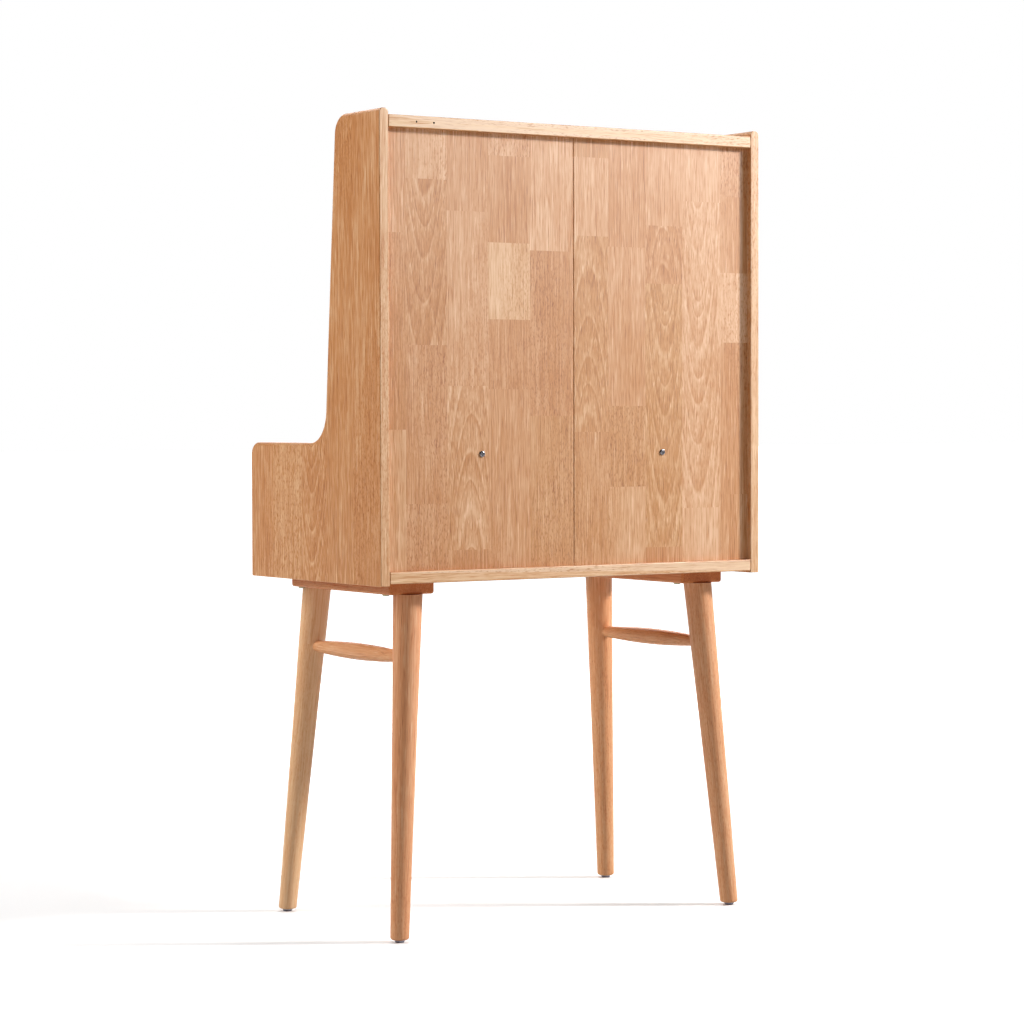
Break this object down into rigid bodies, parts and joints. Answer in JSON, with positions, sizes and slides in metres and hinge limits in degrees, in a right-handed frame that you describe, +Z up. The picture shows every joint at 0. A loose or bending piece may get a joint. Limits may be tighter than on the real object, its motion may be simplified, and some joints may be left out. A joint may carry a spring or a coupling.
{
  "type": "secretary desk",
  "caption": "Solid-wood secretary desk on splayed turned legs, with stepped side panels, a drop-front flap over a shallow hutch, and drawers under the deck.",
  "frame": {"origin": "on the floor, under the middle of the case's width and depth", "axes": "+Z up, +X to the right of a person sitting at the desk, +Y to the back; the flap and drawers face -Y"},
  "size_m": [0.7, 0.4, 1.23],
  "materials": {
    "case_wood": "solid hardwood, straight grain, satin clear lacquer",
    "stave_wood": "finger-jointed hardwood staves, satin clear lacquer",
    "base_wood": "turned solid hardwood, satin clear lacquer",
    "drawer_box_wood": "planed hardwood, unlacquered",
    "plywood": "sanded plywood",
    "dowel_wood": "beech dowel",
    "zinc_steel": "zinc-plated, satin",
    "magnet": "nickel-plated magnet",
    "brass": "satin brass",
    "felt": "brown felt pad"
  },
  "bodies": {
    "case": {"side_panel_left": "case_wood", "side_panel_right": "case_wood", "top_board": "case_wood", "deck_board": "case_wood", "bottom_board": "case_wood", "centre_divider": "case_wood", "back_panel_left": "stave_wood", "back_panel_right": "stave_wood", "hutch_shelf": "case_wood", "pigeonhole_divider_left": "case_wood", "pigeonhole_divider_right": "case_wood", "flap_stop_left": "case_wood", "flap_stop_right": "case_wood", "catch_magnets": "magnet", "drawer_runner_left_outer": "drawer_box_wood", "drawer_runner_left_inner": "drawer_box_wood", "drawer_runner_right_inner": "drawer_box_wood", "drawer_runner_right_outer": "drawer_box_wood", "runner_screws": "zinc_steel", "back_panel_screws": "zinc_steel", "carcase_dowels": "dowel_wood", "rail_left": "base_wood", "rail_right": "base_wood", "leg_back_left": "base_wood", "leg_back_right": "base_wood", "leg_front_left": "base_wood", "leg_front_right": "base_wood", "stretcher_left": "base_wood", "stretcher_right": "base_wood", "leg_bolts": "zinc_steel", "leg_inserts": "zinc_steel", "rail_screws": "zinc_steel", "case_inserts": "zinc_steel", "foot_glides": "zinc_steel", "flap_bumpers": "felt", "hinge_left_deck_leaf": "brass", "hinge_right_deck_leaf": "brass", "deck_hinge_screws": "brass"},
    "flap": {"flap_panel": "case_wood", "hinge_left_flap_leaf": "brass", "hinge_right_flap_leaf": "brass", "hinge_left_pin": "brass", "hinge_right_pin": "brass", "flap_hinge_screws": "brass", "catch_strikes": "zinc_steel", "strike_screws": "zinc_steel"},
    "drawer_left": {"drawer_left_front": "case_wood", "drawer_left_inner_side": "drawer_box_wood", "drawer_left_outer_side": "drawer_box_wood", "drawer_left_back": "drawer_box_wood", "drawer_left_bottom": "plywood", "drawer_left_dowels": "dowel_wood"},
    "drawer_right": {"drawer_right_front": "case_wood", "drawer_right_inner_side": "drawer_box_wood", "drawer_right_outer_side": "drawer_box_wood", "drawer_right_back": "drawer_box_wood", "drawer_right_bottom": "plywood", "drawer_right_dowels": "dowel_wood"}
  },
  "joints": [
    {"name": "flap_hinge", "type": "hinge", "parent": "case", "child": "flap", "pos_m": [0, 0.0323, 0.733], "axis": [1, 0, 0], "range_deg": [0, 94]},
    {"name": "drawer_left_slide", "type": "slide", "parent": "case", "child": "drawer_left", "axis": [0, -1, 0], "range_m": [0, 0.26]},
    {"name": "drawer_right_slide", "type": "slide", "parent": "case", "child": "drawer_right", "axis": [0, -1, 0], "range_m": [0, 0.26]}
  ]
}
